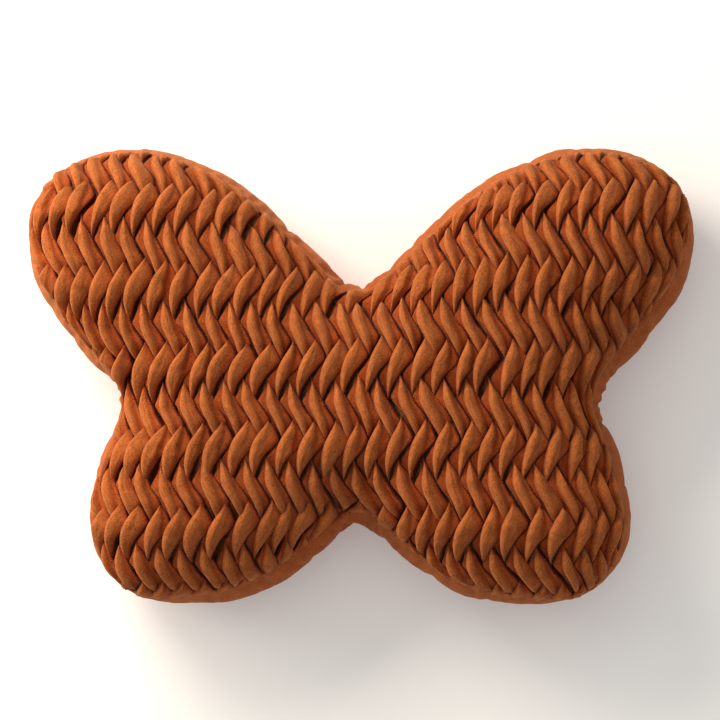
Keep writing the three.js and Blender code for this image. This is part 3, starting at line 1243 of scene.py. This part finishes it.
def slab(
    points: np.ndarray, triangles: list, top: np.ndarray, bottom: np.ndarray, rim: int,
) -> tuple[np.ndarray, list[list[int]]]:
    """Closes an upper layer of triangles with a lower one and a wall round the rim.

    Args:
        points: Rows of x, y, of which the rim's come first and run clockwise.
        triangles: The upper layer, facing up.
        top: Height of the upper layer at each point.
        bottom: Height of the lower layer at each point.
        rim: Number of points round the rim.

    Returns:
        Points and faces of the closed solid.
    """
    count = len(points)
    both = np.vstack([np.column_stack([points, heights]) for heights in (top, bottom)])
    lower = [[count + corner for corner in face][::-1] for face in triangles]
    wall = [[i, (i + 1) % rim, count + (i + 1) % rim, count + i] for i in range(rim)]
    return both, triangles + lower + wall


@dataclass(frozen=True)
class Gather:
    """A place of the outline where the band is gathered, and how strongly."""

    x: float
    y: float
    strength: float


@dataclass
class SideBand:
    """The boxing strip: plain velvet between the two seams, bulging with the filling."""

    GATHERS = (Gather(175, -16, 1.0), Gather(-175, -16, 0.8), Gather(0, -109, 0.5), Gather(0, 60, 0.6))

    outline: Outline
    finish: bpy.types.Material
    back_seam: float = 25.0
    front_seam: float = 79.0
    widest: float = 51.0
    seam_inset: float = 7.0
    drawn_power: float = 1.5
    rows: int = 30
    crowded: float = 0.6
    thickness: float = 3.0
    inner_every: int = 3
    # Painted shade along both seams, fading over this width from each
    seam_painted_light: float = 0.35
    seam_painted_light_over: float = 3.0
    seam_reach: float = 0.16
    bell_power: float = 1.5
    pucker: float = 0.225
    pucker_reach: float = 0.12
    pucker_lengths: tuple[float, float] = (9, 22)
    hollow: float = 0.72
    hollow_lengths: tuple[float, float] = (38, 120)
    dimple: float = 0.16
    dimple_lengths: tuple[float, float] = (15, 34)
    gather: float = 1.3
    gather_length: float = 7.5
    gather_reach: float = 17.0
    gather_phases: float = 6.0
    gather_middle: float = 0.25
    settle_rows: int = 17
    settle_spacing: float = 3.4
    settle_steps: int = 20
    swell: float = 3.0
    pressure: float = 4.0
    looseness: float = 0.03
    cap: float = 3.5
    seed: int = 5

    def build(self) -> None:
        """Builds the band as a closed loop of cloth with both edges turned in at the seams."""
        rng = np.random.default_rng(self.seed)
        shares = 0.5 - 0.5 * np.cos(np.linspace(0, math.pi, self.rows))
        even = np.linspace(0, 1, self.rows)
        depth = self.front_seam - self.back_seam
        heights = self.back_seam + depth * (self.crowded * shares + (1 - self.crowded) * even)
        ease = self._ease(heights, rng)
        slack = self.swell * np.sin(np.pi * (heights - heights[0]) / depth)
        cut = np.stack([
            self._ring(height, ease[level] - slack[level]) for level, height in enumerate(heights)])
        outer = list(self._settled(cut, heights))
        count = len(self.outline.points)
        outwards = np.column_stack([self.outline.normals, np.zeros(count)])
        inner = [ring - self.thickness * outwards for ring in outer[::-self.inner_every]]
        rings = outer + inner
        # Painted shade near both seams; the turned-in rings are painted darkest
        from_seam = np.minimum(heights - heights[0], heights[-1] - heights)
        shown = self.seam_painted_light + (1 - self.seam_painted_light) * smoothstep(from_seam / self.seam_painted_light_over)
        painted_light = np.concatenate([np.repeat(shown, count), np.zeros(count * len(inner))])
        band = Patch(np.vstack(rings), ring_quads(len(rings), count, looped=True), painted_light)
        piece = band.piece("side_band_cloth", self.finish)
        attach(piece, "root")
        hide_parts("side_band")
        log.info("side band: %.0f mm round", self.outline.length)

    def _settled(self, cut: np.ndarray, heights: np.ndarray) -> np.ndarray:
        """Settles the strip over the filling by cloth simulation, held at both seams.

        Args:
            cut: Rings by stations by x, y, z.
            heights: Height of each ring.

        Returns:
            The rings once settled.
        """
        rows, stations = self.settle_rows, round(self.outline.length / self.settle_spacing)
        even = np.linspace(heights[0], heights[-1], rows)
        count = cut.shape[1]
        levels = np.interp(even, heights, np.arange(len(heights)))
        before = self._resampled(cut, levels, np.arange(stations) * count / stations)
        ring = np.arange(stations)
        after = np.roll(ring, -1)
        under, over, top = rows * stations, rows * stations + 1, (rows - 1) * stations
        fans = np.vstack([
            np.column_stack([ring, after, np.full(stations, under)]),
            np.column_stack([after + top, ring + top, np.full(stations, over)])])
        points = np.vstack([before.reshape(-1, 3), [[0, 0, even[0]], [0, 0, even[-1]]]])
        mesh = bpy.data.meshes.new("band_to_settle")
        mesh.from_pydata((points * MM).tolist(), [], fans.tolist() + ring_quads(rows, stations))
        strip = linked("band_to_settle", mesh)
        seams = strip.vertex_groups.new(name="seams")
        seams.add([*ring.tolist(), *(ring + top).tolist(), under, over], 1.0, "REPLACE")
        cloth = strip.modifiers.new("cloth", "CLOTH").settings
        cloth.vertex_group_mass = "seams"
        cloth.use_pressure = True
        cloth.uniform_pressure_force = self.pressure
        cloth.shrink_min = -self.looseness
        cloth.effector_weights.gravity = 0
        for step in range(1, self.settle_steps + 1):
            bpy.context.scene.frame_set(step)
        settled = strip.evaluated_get(bpy.context.evaluated_depsgraph_get()).data
        points = np.empty(len(settled.vertices) * 3)
        settled.vertices.foreach_get("co", points)
        bpy.data.objects.remove(strip)
        bpy.context.scene.frame_set(1)
        moved = points.reshape(-1, 3)[:-2].reshape(before.shape) / MM - before
        length = np.linalg.norm(moved, axis=2, keepdims=True)
        log.info("band settled by %.1f mm at most, %.1f mm on average", length.max(), length.mean())
        moved *= np.minimum(1, self.cap / np.maximum(length, self.cap))
        levels = np.interp(heights, even, np.arange(rows))
        return cut + self._resampled(moved, levels, np.arange(count) * stations / count)

    @staticmethod
    def _resampled(grid: np.ndarray, levels: np.ndarray, places: np.ndarray) -> np.ndarray:
        """Reads a grid of rings between its rings and stations.

        Args:
            grid: Rings by stations by values.
            levels: Rings wanted, as fractions between whole numbers.
            places: Stations wanted, as fractions between whole numbers.

        Returns:
            The values there.
        """
        low = np.clip(np.floor(levels).astype(int), 0, len(grid) - 2)
        share = (levels - low)[:, None, None]
        rings = grid[low] * (1 - share) + grid[low + 1] * share
        start = np.floor(places).astype(int)
        part = (places - start)[None, :, None]
        count = grid.shape[1]
        return rings[:, start % count] * (1 - part) + rings[:, (start + 1) % count] * part

    def _ease(self, heights: np.ndarray, rng: np.random.Generator) -> np.ndarray:
        """How far the cloth stands out from its plain bulge.

        Args:
            heights: Height of each ring.
            rng: Seeded source of the unevenness.

        Returns:
            A distance for each ring and station.
        """
        outline = self.outline
        total = heights[-1] - heights[0]
        below, above = (heights - heights[0]) / total, (heights[-1] - heights) / total
        at_front, at_back = np.exp(-above / self.seam_reach), np.exp(-below / self.seam_reach)
        bell = np.sin(np.pi * below) ** self.bell_power
        leaning = bell * at_front / at_front[len(at_front) // 2]
        puckered = [share / self.pucker_reach * np.e for share in (at_front * above, at_back * below)]
        ease = self.pucker * sum(
            np.outer(near, outline.ripple(rng, *self.pucker_lengths)) for near in puckered)
        ease += self.hollow * np.outer(bell, outline.ripple(rng, *self.hollow_lengths))
        ease += self.dimple * np.outer(leaning, outline.ripple(rng, *self.dimple_lengths))
        count = len(outline.points)
        gathered = (at_front * above / self.seam_reach * np.e) + self.gather_middle * bell
        for place in self.GATHERS:
            away = (np.arange(count) - outline.nearest(place.x, place.y) + count // 2) % count
            away = (away - count // 2) * outline.length / count
            wave = np.cos(2 * math.pi * away / self.gather_length + rng.uniform(0, self.gather_phases))
            ease += self.gather * place.strength * np.outer(
                gathered, wave * np.exp(-(away / self.gather_reach) ** 2))
        return ease

    def _ring(self, height: float, ease: float | np.ndarray) -> np.ndarray:
        """Draws one ring of the band.

        Args:
            height: Its height.
            ease: How far it stands out from its plain bulge, at each station.

        Returns:
            Rows of x, y, z.
        """
        half = self.widest - self.back_seam if height < self.widest else self.front_seam - self.widest
        bulge = ((height - self.widest) / half) ** 2
        towards_front = max(0.0, (height - self.widest) / (self.front_seam - self.widest))
        inset = self.seam_inset * bulge + self.outline.drawn * towards_front ** self.drawn_power - ease
        places = self.outline.drawn_in(inset)
        return np.column_stack([places, np.full(len(places), height)])


@dataclass
class PlainBack:
    """The plain back panel, drawn tight over the filling and flat where it rests."""

    insets: InsetField
    finish: bpy.types.Material
    seam_inset: float = 7.0
    seam_height: float = 25.0
    reach: float = 56.0
    fullness: float = 2.2
    depth: float = 20.0

    def build(self) -> None:
        """Builds the back as one filled solid, closed above under the front."""
        rim = Outline(RIM_SPACING).drawn_in(self.seam_inset)
        points, triangles = filled(rim, self.insets, self.seam_inset)
        inset, _ = self.insets.sample(points)
        share = np.clip((self.reach - inset) / (self.reach - self.seam_inset), 0, 1)
        low = self.seam_height * share ** self.fullness
        high = np.full(len(points), self.seam_height + self.depth)
        back = Patch(*slab(points, triangles, high, low, len(rim)))
        piece = back.piece("plain_back_and_filling", self.finish)
        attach(piece, "root")
        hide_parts("filled_back")


@dataclass(frozen=True)
class Softbox:
    """A square light on the cushion, by its place and side in metres and its power in watts."""

    name: str
    place: tuple[float, float, float]
    size: float
    power: float


@dataclass
class Studio:
    """Pale floor, soft lights and the camera at the photograph's angle to the cushion's face.

    Its places and distances are metres, but for the floor's reach, and its angles are degrees.
    """

    LIGHTS = (
        Softbox("key", (-0.66, 0.8, 0.72), 0.65, 17.5),
        Softbox("low", (-1.0, 0.3, 0.4), 0.6, 7.5),
        Softbox("overhead", (-0.3, 0.5, 2.6), 2.4, 12),
    )

    target: tuple[float, float, float] = (0.0011, 0.011, 0.06)
    distance: float = 2.2
    to_the_right: float = 4.4
    below: float = 4.0
    lens: float = 147.8
    floor_reach: float = 3000.0
    light_colour: str = "fff4e2"
    world_colour: str = "ffffff"
    world_strength: float = 0.40

    def build(self) -> None:
        """Builds the camera, the floor, the lights and the world."""
        bpy.context.scene.view_settings.view_transform = "Standard"
        self._camera()
        self._floor()
        for light in self.LIGHTS:
            self._area(light)
        world = bpy.data.worlds.new("studio")
        world.use_nodes = True
        background = world.node_tree.nodes["Background"].inputs
        background["Color"].default_value = linear(self.world_colour)
        background["Strength"].default_value = self.world_strength
        bpy.context.scene.world = world

    def _camera(self) -> None:
        """Aims the camera."""
        right, below = math.radians(self.to_the_right), math.radians(self.below)
        back = Vector((math.sin(right), -math.sin(below), 1.0)).normalized()
        side = Vector((0, 1, 0)).cross(back).normalized()
        up = back.cross(side)
        place = Vector(self.target) + back * self.distance
        data = bpy.data.cameras.new("camera")
        data.lens = self.lens
        camera = linked("camera", data)
        rows = [(side[i], up[i], back[i], place[i]) for i in range(3)]
        camera.matrix_world = Matrix([*rows, (0, 0, 0, 1)])
        bpy.context.scene.camera = camera

    def _floor(self) -> None:
        """Lays a floor of uncoated white paper, which scatters all light and glows as if lit behind."""
        half = self.floor_reach
        corners = np.array([(-half, -half, 0), (half, -half, 0), (half, half, 0), (-half, half, 0)])
        paper = new_material("matt_white_paper", {
            "Base Color": linear("f4f3f1"), "Roughness": 0.9, "Emission Color": linear("ffffff"),
            "Emission Strength": 0.15})
        Patch(corners, [[0, 1, 2, 3]]).piece("floor", paper)

    def _area(self, light: Softbox) -> None:
        """Adds a light aimed at the cushion.

        Args:
            light: What it is and where it stands.
        """
        data = bpy.data.lights.new(light.name, "AREA")
        data.size, data.energy = light.size, light.power
        data.color = linear(self.light_colour)[:3]
        lamp = linked(light.name, data)
        lamp.location = light.place
        aim = Vector(self.target) - Vector(light.place)
        lamp.rotation_euler = aim.to_track_quat("-Z", "Y").to_euler()


def main() -> None:
    """Builds the cushion's pieces in order and reports each."""
    logging.basicConfig(level=logging.INFO, format="%(name)s: %(message)s")
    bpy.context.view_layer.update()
    Studio().build()
    # Ramp colours: two of painted shade for the folds, the pile's own colour, the crest colour, which paints
    # a highlight on the pleats' crests, and the sheen tint
    smocked = Velvet(
        "rust_polyester_velvet_smocked", "3e0602", "6a230d", "8e3e1a", "9f562a", "ffc490",
        streaked=True).material()
    plain = Velvet(
        "rust_polyester_velvet_plain", "400501", "742810", "8e3f1b", "9c4c23", "ffc088").material()
    # Dark thread: partly painted shade of the gaps beside the stitches
    thread = Thread("rust_polyester_thread_twisted", "4a1408").material()
    spacing = 1.5
    insets_in_front = InsetField(Outline(spacing, front=True))
    front = SmockedFront(Crown(insets_in_front), smocked)
    front.build()
    Stitching(insets_in_front, thread).build(front.stitched)
    SideBand(Outline(spacing), plain).build()
    PlainBack(InsetField(Outline(spacing)), plain).build()


if __name__ == "__main__":
    main()
